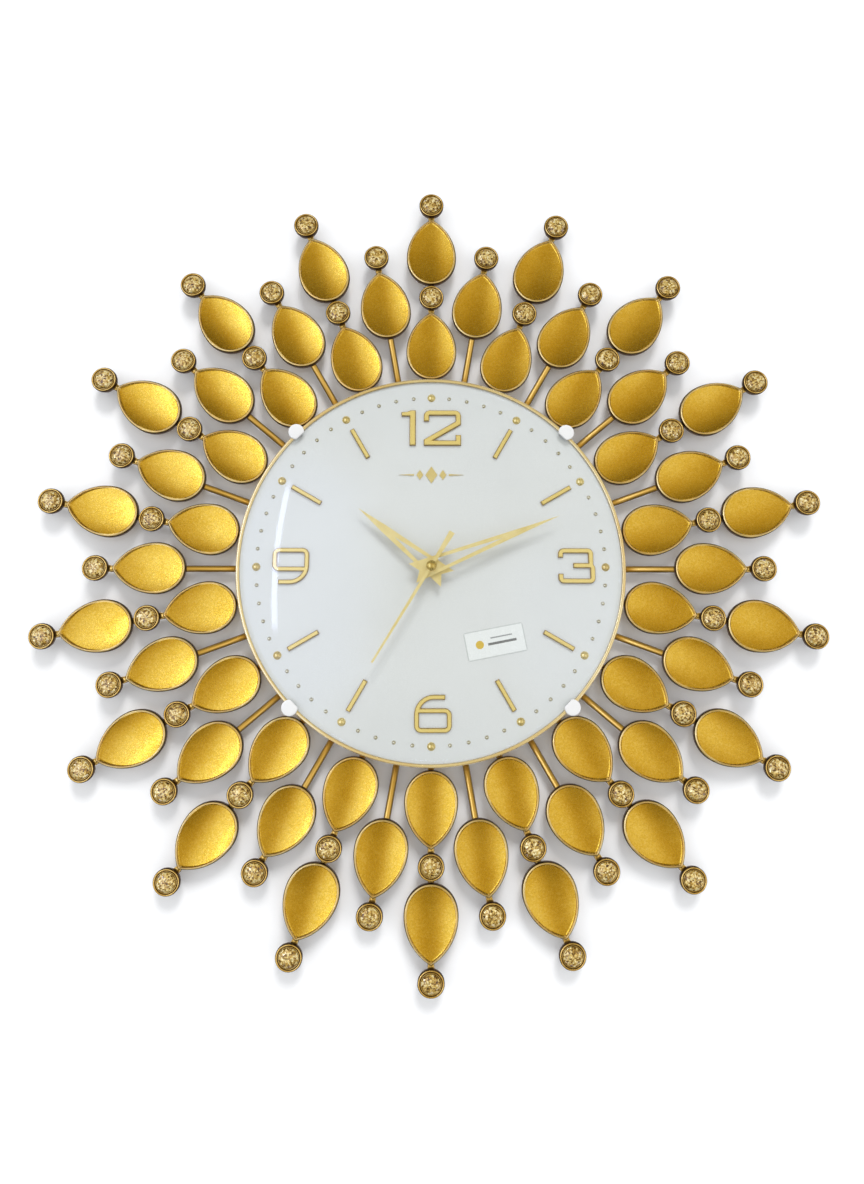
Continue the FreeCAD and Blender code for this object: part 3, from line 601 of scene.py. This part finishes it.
def leaf(widest):
    """A pressed dish with a rolled rim painted bright as a highlight, a side wall painted dark as shade, and
    a hollow back.
    """
    rim = front_of("outer_leaves")
    back = back_of("outer_leaves")
    floor = back + 1.25
    sheet = 1.1
    middle = (LEAF_TIP_LENGTH - LEAF_ROUND_LENGTH) / 2

    def dish(x, z):
        return floor + x * x / 98 + (z - middle) ** 2 / 300

    def under(x, z):
        return dish(x, z) - sheet

    def edges(*steps):
        return [leaf_edge(1.0, depth, inset) for depth, inset in steps]

    bowl = [leaf_edge(scale, dish) for scale in (0.06, 0.16, 0.28, 0.4, 0.52, 0.64, 0.74, 0.82, 0.88)]
    # The roll takes the rim material, a painted highlight; the side wall takes the edge material, painted
    # shade.
    roll = edges((dish, 2.0), (rim - 0.34, 1.85), (rim - 0.08, 1.62), (rim, 1.35), (rim - 0.12, 1.05))
    side = edges((rim - 0.42, 0.55), (rim - 0.85, 0.18), (rim - 1.3, 0), (rim - 2.6, 0), (back + 0.35, 0),
                 (back + 0.06, 0.2))
    hollow = edges((back + 0.06, 0.9), (back + 0.3, 1.15), (under, 1.2))
    hollow += [leaf_edge(scale, under) for scale in (0.84, 0.6, 0.36, 0.14)]
    top, bottom = [[point(0, surface(0, 0), 0)] for surface in (dish, under)]
    looks = [0] * (1 + len(bowl)) + [1] * len(roll) + [2] * len(side) + [3] * len(hollow)
    return looped([top] + bowl + roll + side + hollow + [bottom], looks).raised(widest)


def gem_cup(ring_radius):
    """A turned cup: rounded outer lip, a fine groove, an inner lip and a seat; its outer wall, groove and
    seat are painted near black as shade.
    """
    face = front_of("outer_gem_cups")
    foot = back_of("outer_gem_cups") + 0.05
    profile = [
        (0, foot), (8.2, foot), (8.7, foot + 0.3), (9.1, foot + 1.6), (9.5, foot + 3.0),
        (9.58, face - 1.6), (9.56, face - 1.0), (9.4, face - 0.6), (9.12, face - 0.26), (8.88, face - 0.06),
        (8.6, face), (8.32, face - 0.1), (8.12, face - 0.36), (8.02, face - 0.8), (7.86, face - 1.15),
        (7.66, face - 1.1), (7.56, face - 0.6), (7.42, face - 0.28), (7.22, face - 0.2), (7.02, face - 0.34),
        (6.94, face - 0.8), (6.9, face - 1.6), (6.0, face - 1.9), (0, face - 3.9),
    ]
    # The outer wall takes the edge's painted shade, the lips the cup gold, the groove and the seat the
    # painted shade inside.
    looks = [2] * 8 + [0] * 4 + [1] * 4 + [0] * 4 + [1] * 3
    return lathed(profile, 72, looks).raised(ring_radius)


def stone_rows(sides, girdle):
    """A stone's corners in front of its girdle, from the middle of its table outwards."""
    crown = 2.0
    rows = [(2.0, 1.0, 0.0), (3.9, 0.94, 0.5), (5.5, 0.62, 0.0), (STONE_RADIUS, 0.08, 0.5)]
    rings = [circle(radius, girdle + crown * share, sides, offset) for radius, share, offset in rows]
    return [[point(0, girdle + crown, 0)]] + rings


def gem(ring_radius, facets):
    """A round stone with flat table, star, kite and girdle facets; facets collects a tone for each."""
    sides = 16
    girdle = front_of("outer_gems") - 2.0
    rings = stone_rows(sides, girdle)
    points = [p for ring in rings for p in ring]
    starts = [0] + [1 + sides * k for k in range(len(rings) - 1)]
    faces = [[0, starts[1] + i, starts[1] + (i + 1) % sides] for i in range(sides)]
    for k in range(1, len(rings) - 1):
        ahead = 0 if k % 2 else 1
        for i in range(sides):
            a, b = starts[k] + i, starts[k] + (i + 1) % sides
            c, d = [starts[k + 1] + (i + ahead + step) % sides for step in (0, 1)]
            faces.append([a, c, b])
            faces.append([b, c, d])
    base = len(points)
    last = starts[-1]
    points += [point(p.x * 0.995, girdle, p.z * 0.995) for p in rings[-1]]
    tip = len(points)
    points.append(point(0, girdle - 3.0, 0))
    for i in range(sides):
        j = (i + 1) % sides
        faces.append([last + i, base + i, base + j, last + j])
        faces.append([base + i, tip, base + j])
    # Each facet's tone picks its painted reflection colour.
    facets += [random.random() for _ in faces]
    return Shape().add(points, faces, smooth=False).raised(ring_radius)


def gems(ring_radius, clock_angles):
    tones = []
    whole = Shape()
    for angle in clock_angles:
        whole.join(gem(ring_radius, tones).turned(angle))
    return whole, tones


def rod(end):
    """A round rod along a ray with a dome at its outer end."""
    radius = ROD_RADIUS - 0.02
    stations = [
        (ROD_START, radius), (end - 1.2, radius), (end - 0.5, radius * 0.86), (end - 0.1, radius * 0.5),
    ]
    rings = [oval(reach, reach, ROD_DEPTH, z, 24) for z, reach in stations]
    return looped([[point(0, ROD_DEPTH, ROD_START)]] + rings + [[point(0, ROD_DEPTH, end)]])


def neck(tip, cup_edge):
    """The small cast saddle that joins a leaf's point to the cup beyond it."""
    rim = front_of("outer_leaves")
    back = back_of("outer_leaves")
    sections = [
        (tip - 3.2, 1.5, rim - 1.2), (tip - 0.6, 1.9, rim - 1.4), (tip + 0.8, 2.1, rim - 1.9),
        (cup_edge + 0.6, 2.7, rim - 1.7),
    ]
    rings = [oval(half, (top - back) / 2, (top + back) / 2, z, 20) for z, half, top in sections]
    return looped(capped(rings))


def sunburst(paints):
    # Leaf materials: the dish gold, the rim's painted highlight, the side wall's painted shade and the back.
    gold = [paints["leaf"], paints["rim"], paints["edge"], paints["leaf_back"]]
    cup_paints = [paints["cup"], paints["cup_inside"], paints["edge"]]
    families = [
        ("outer", OUTER_WIDEST, OUTER_RING, LONG_ANGLES, "outer_leaves", "outer_gem_cups", "outer_gems"),
        ("inner", INNER_WIDEST, INNER_RING, LONG_ANGLES, "inner_leaves", "inner_gem_cups", "inner_gems"),
        ("short", SHORT_WIDEST, SHORT_RING, SHORT_ANGLES, "short_ray_leaves", "short_ray_gem_cups",
         "short_ray_gems"),
    ]
    for name, widest, ring_radius, angles, leaves, cups, stones in families:
        make(f"{name}_leaf_dishes", leaf(widest).repeat(angles), gold, "clock", [leaves])
        cup = gem_cup(ring_radius)
        make(f"{name}_stone_cups", cup.repeat(angles), cup_paints, "clock", [cups])
        saddle = neck(widest + LEAF_TIP_LENGTH, ring_radius - CUP_RADIUS)
        make(f"{name}_necks", saddle.repeat(angles), [paints["rod"]], "clock")
        shape, tones = gems(ring_radius, angles)
        piece = make(f"{name}_stones", shape, [paints["stone"]], "clock", [stones])
        facet = piece.data.attributes.new("facet", "FLOAT", "FACE")
        facet.data.foreach_set("value", tones)
    long_rods = rod(OUTER_RING).repeat(LONG_ANGLES)
    short_rods = rod(SHORT_RING).repeat(SHORT_ANGLES)
    make("long_rods", long_rods, [paints["rod"]], "clock", ["long_ray_rods"])
    make("short_rods", short_rods, [paints["rod"]], "clock", ["short_ray_rods"])


# ------------------------------------------------------------------ dial case
def glass_dome():
    """A domed glass of even thickness, with a softened edge."""
    rim_radius = high("dome_glass").x
    rim_back = back_of("dome_glass")
    apex = front_of("dome_glass")
    thickness = 1.8
    softening = 0.15
    rise = apex - rim_back - thickness
    ball = (rim_radius ** 2 + rise ** 2) / (2 * rise)
    steps = 40
    outside = []
    inside = []
    for i in range(steps + 1):
        radius = rim_radius * (1 - i / steps)
        sag = ball - math.sqrt(ball * ball - radius * radius)
        outside.append((radius, apex - sag))
        inside.append((radius * 0.9985, apex - thickness - sag + 0.03))
    edge = [(rim_radius - softening, rim_back + 0.05), (rim_radius, rim_back + 2 * softening)]
    outside[0] = (rim_radius, outside[0][1] - softening)
    return lathed(list(reversed(inside)) + edge + outside, 192)


def bezel_ring():
    """A thin gold ring with a rounded front, round the glass and the tray's edge."""
    outer = BEZEL_RADIUS - 0.02
    front = front_of("bezel")
    back = back_of("bezel")
    lip = high("dome_glass").x + 0.22
    sleeve = high("dial_tray").x + 0.02
    profile = [
        (sleeve, back + 0.1), (outer - 0.3, back + 0.02), (outer, back + 0.4), (outer, front - 1.1),
        (outer - 0.12, front - 0.55), (outer - 0.42, front - 0.18), (outer - 0.9, front - 0.02),
        (lip + 0.9, front), (lip + 0.4, front - 0.12), (lip + 0.08, front - 0.42), (lip, front - 0.9),
        (sleeve, front - 0.98),
    ]
    return lathed(profile + profile[:1], 256)


def clip_shoe():
    """A white moulded shoe: round outside, straight across the glass, with a soft top edge and a leg."""
    radius = 5.85
    centre = 142.9
    chord = 138.45
    top = front_of("glass_clips")
    under = 23.6
    start = math.acos((chord - centre) / radius)
    steps = 36
    outline = []
    for i in range(steps + 1):
        turn = -start + 2 * start * i / steps
        outline.append((radius * math.sin(turn), centre + radius * math.cos(turn)))
    across = 8
    first, last = outline[0][0], outline[steps][0]
    outline += [(last + (first - last) * i / across, chord) for i in range(1, across)]
    middle = (chord + centre + radius) / 2

    def ring(depth, keep):
        return [point(x * keep, depth, middle + (z - middle) * keep) for x, z in outline]

    def arc(reach, spread, depth, z):
        """25 points from one side to the other; spread is half the arc, in degrees."""
        turns = [math.radians(-spread + 2 * spread * i / 24) for i in range(25)]
        return [point(reach * math.sin(turn), depth, z + reach * math.cos(turn)) for turn in turns]

    rings = [ring(under, 0.9), ring(under + 0.1, 0.985), ring(under + 0.5, 1.0), ring(top - 0.75, 1.0)]
    rings += [ring(top - 0.32, 0.975), ring(top - 0.1, 0.92), ring(top, 0.8), ring(top, 0.4)]
    shoe = looped([[point(0, under, middle)]] + rings + [[point(0, top, middle)]])
    leg_depths = (16.1, 16.3, 20.0, under + 0.1)
    hug = BEZEL_RADIUS + 0.05
    leg = [arc(radius * 0.99, 58, depth, centre) + arc(hug, 1.95, depth, 0)[::-1] for depth in leg_depths]
    return shoe.join(looped(capped(leg)))


def studs(radius, height, angles):
    """Small domes on the dial, each on a low round foot."""
    foot = DIAL_FRONT + 0.15
    profile = [(0, DIAL_FRONT), (radius, DIAL_FRONT), (radius, foot)]
    steps = 7
    ball = (radius ** 2 + height ** 2) / (2 * height)
    for i in range(1, steps):
        reach = radius * (1 - i / steps)
        level = DIAL_FRONT + height - ball + math.sqrt(ball ** 2 - reach ** 2)
        profile.append((reach, max(level, foot)))
    profile.append((0, DIAL_FRONT + height))
    return lathed(profile, 32).raised(STUD_RING).repeat(angles)


def case(paints):
    """The glass, its ring and clips, and the studs round the dial."""
    make("glass", glass_dome(), [paints["glass"]], "clock", ["dome_glass"])
    make("bezel_ring", bezel_ring(), [paints["bezel"]], "clock", ["bezel"])
    clips = clip_shoe().repeat(CORNER_ANGLES)
    make("clips", clips, [paints["clip"]], "clock", ["glass_clips"])
    hours = studs(3.0, 1.8, [i * 30 for i in range(12)])
    minutes = studs(1.45, 1.0, [i * 6 for i in range(60) if i % 5])
    make("hour_domes", hours, [paints["dome"]], "clock", ["hour_studs"])
    make("minute_domes", minutes, [paints["minute"]], "clock", ["minute_studs"])


# ------------------------------------------------------------------ CAD nodes that keep their shape
# Each with its paint and the width of its rounded edges in millimetres.
KEPT = {
    "dial_face": ("dial", 0), "numeral_12": ("marker", 0.18), "numeral_3": ("marker", 0.18),
    "numeral_6": ("marker", 0.18), "numeral_9": ("marker", 0.18), "hour_bars": ("marker", 0.18),
    "dial_ornament": ("ornament", 0.06), "dial_label": ("film", 0), "hour_hand": ("hand", 0.12),
    "minute_hand": ("hand", 0.12), "second_hand": ("hand", 0.12), "second_hand_cap": ("cap", 0.12),
    "center_bush": ("brass", 0), "bush_nut": ("brass", 0.1), "bush_washer": ("brass", 0),
    "rubber_washer": ("rubber", 0), "dial_board": ("board", 0), "dial_tray": ("tray", 0),
    "back_plate": ("plate", 0.2), "frame_screws": ("screw", 0.1), "bridge_screws": ("screw", 0.1),
    "movement_front_case": ("case", 0.2), "movement_rear_cover": ("case", 0.25),
    "train_bridge": ("bridge", 0.1), "battery": ("cell", 0), "contact_positive": ("nickel", 0),
    "contact_negative": ("nickel", 0),
    "stator": ("lamination", 0), "coil_core": ("lamination", 0), "coil_bobbin": ("bobbin", 0.05),
    "coil_winding": ("copper", 0), "circuit_board": ("circuit", 0), "quartz_crystal": ("can", 0.1),
    "control_chip": ("chip", 0), "rotor": ("rotor", 0), "fifth_wheel": ("nylon", 0),
    "second_wheel": ("nylon", 0), "third_wheel": ("nylon", 0), "center_wheel": ("nylon", 0),
    "minute_arbor": ("aluminium", 0), "minute_wheel": ("nylon", 0), "hour_wheel": ("nylon", 0),
    "setting_knob": ("nylon", 0.1),
}


def kept_nodes(paints):
    """Paints each CAD piece that stays in sight, and rounds its edges with a modifier."""
    for node, (paint_name, bevel) in KEPT.items():
        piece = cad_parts[node]
        for holder in piece.material_slots:
            holder.material = paints[paint_name]
        if bevel:
            soften(piece, bevel)


# ------------------------------------------------------------------ studio
def camera():
    """The photo's camera, solved from the places of the stones in the photo."""
    view = bpy.data.objects.new("camera", bpy.data.cameras.new("camera"))
    bpy.context.scene.collection.objects.link(view)
    view.location = point(-5.1, 606.1, -57.8) * MM
    view.rotation_euler = (math.radians(98.06), 0, math.radians(-0.72))
    view.data.lens = 24.32
    view.data.sensor_width = 36
    view.data.shift_x = -0.00205
    view.data.shift_y = -0.0496
    view.data.clip_start = 0.01
    bpy.context.scene.camera = view


def sky_light():
    """Even pale light from all round."""
    world = bpy.data.worlds.new("room")
    bpy.context.scene.world = world
    world.use_nodes = True
    background = world.node_tree.nodes["Background"]
    background.inputs["Color"].default_value = (0.97, 0.985, 1.0, 1)
    background.inputs["Strength"].default_value = 0.84


def sun(name, side, up, softness, power, ahead=-1):
    """Even light from far off; side and up are degrees away from straight ahead of the wall, or behind it."""
    lamp = bpy.data.lights.new(name, "SUN")
    lamp.angle = math.radians(softness)
    lamp.energy = power
    holder = bpy.data.objects.new(name, lamp)
    toward = Vector((math.tan(math.radians(side)), ahead, math.tan(math.radians(up))))
    holder.rotation_euler = toward.to_track_quat("Z", "Y").to_euler()
    holder.visible_glossy = False
    bpy.context.scene.collection.objects.link(holder)


def backdrop(name, mesh, look, hidden_from):
    """A piece of the studio, which the named kinds of ray pass by."""
    mesh.materials.append(look.material)
    holder = bpy.data.objects.new(name, mesh)
    for ray in hidden_from:
        setattr(holder, "visible_" + ray, False)
    bpy.context.scene.collection.objects.link(holder)


def card_level(look, radius):
    """How bright the card is, from its place in shares of the dome's radius."""
    parts = look.split(look.place)
    x = look.calc("DIVIDE", parts["X"], radius)
    z = look.calc("DIVIDE", parts["Z"], radius)
    square = look.calc("ADD", look.calc("MULTIPLY", x, x), look.calc("MULTIPLY", z, z))
    steep = look.calc("POWER", square, 0.5)
    base = 0.56
    left = look.rise(x, -0.02, -0.5, 0.84)
    right = look.calc("MULTIPLY", look.rise(x, 0.12, 0.5, 0.46), look.fall(z, -0.05, 0.4, 0.75))
    level = look.calc("ADD", look.calc("ADD", left, right), base)
    level = look.calc("MULTIPLY", level, look.fall(look.calc("ABSOLUTE", z), 0.3, 0.85, 0.7))
    level = look.calc("MULTIPLY", level, look.fall(steep, 0.72, 0.95, 0.75))
    slant = look.calc("ADD", look.calc("DIVIDE", parts["X"], parts["Y"]), look.calc("MULTIPLY", z, 0.037))
    strip_width = look.calc("MULTIPLY", look.rise(slant, 0.812, 0.826), look.fall(slant, 0.856, 0.872))
    strip_length = look.calc("MULTIPLY", look.rise(z, -0.2, -0.12), look.fall(z, 0.38, 0.46))
    strip = look.calc("MULTIPLY", look.calc("MULTIPLY", strip_width, strip_length), 7.0)
    panes = look.node("ShaderNodeTexVoronoi")
    look.link(look.place, panes.inputs["Vector"])
    panes.inputs["Scale"].default_value = 1.1
    spark = look.rise(look.calc("SUBTRACT", 1.0, panes.outputs["Distance"]), 0.7, 0.78, 2.2)
    spark = look.calc("MULTIPLY", spark, look.rise(steep, 0.85, 0.88))
    return look.calc("ADD", look.calc("ADD", level, strip), spark)


def studio_card():
    """The studio that shiny parts mirror: a half dome, brightest to the viewer's left, dim above and below,
    with a narrow lit strip on the left and small lit panes at its rim. It casts no other light."""
    radius = 4.0  # metres, as all of this dome
    rows = 16
    turns = [2 * math.pi * k / 64 for k in range(64)]
    rings = [[point(0, radius, 0)]]
    for i in range(1, rows + 1):
        lean = math.radians(92) * i / rows
        across = radius * math.sin(lean)
        ahead = radius * math.cos(lean)
        rings.append([point(across * math.cos(turn), ahead, across * math.sin(turn)) for turn in turns])
    dome = looped(rings)
    mesh = bpy.data.meshes.new("studio_card")
    mesh.from_pydata(dome.points, [], dome.faces)
    look = Look("studio_card")
    level = card_level(look, radius)
    glow = look.node("ShaderNodeEmission")
    tint = look.mix(look.rise(level, 0.5, 1.35), (1.0, 0.84, 0.42), (0.95, 1.05, 1.5))
    look.link(tint, glow.inputs["Color"])
    look.link(level, glow.inputs["Strength"])
    look.surface(glow)
    look.tree.nodes.remove(look.shader)
    backdrop("studio_card", mesh, look, ("camera", "diffuse", "transmission", "volume_scatter", "shadow"))


def wall():
    """The wall that the clock hangs on, seen only from its painted side."""
    reach = 80000.0
    behind = -0.6
    corners = [(-reach, -reach), (reach, -reach), (reach, reach), (-reach, reach)]
    mesh = bpy.data.meshes.new("wall")
    mesh.from_pydata([point(x, behind, z) * MM for x, z in corners], [], [[0, 1, 2, 3]])
    look = Look("wall_paint").set(Roughness=0.9)
    tone = look.noise(300.0, 3.0)
    look.colour(look.mix(look.range(tone, 0.0, 1.0, 0.35, 0.65), (0.93, 0.93, 0.935), (0.91, 0.91, 0.915)))
    look.bump(look.noise(2.0, 3.0), 0.05)
    back_side = look.node("ShaderNodeNewGeometry").outputs["Backfacing"]
    look.surface(look.blend(back_side, look.shader, look.node("ShaderNodeBsdfTransparent")))
    backdrop("wall", mesh, look, ("diffuse", "glossy", "transmission", "shadow"))


def studio():
    camera()
    sky_light()
    sun("key_from_above", 10, 50, 20, 1.65)
    sun("fill_from_left", -58, 10, 50, 0.3)
    sun("fill_from_right", 58, 5, 50, 0.24)
    sun("light_behind_wall", 18, 28, 40, 1.6, 1)
    studio_card()
    wall()
    bpy.context.scene.view_settings.view_transform = "Standard"


studio()
paints = paint()
sunburst(paints)
case(paints)
kept_nodes(paints)
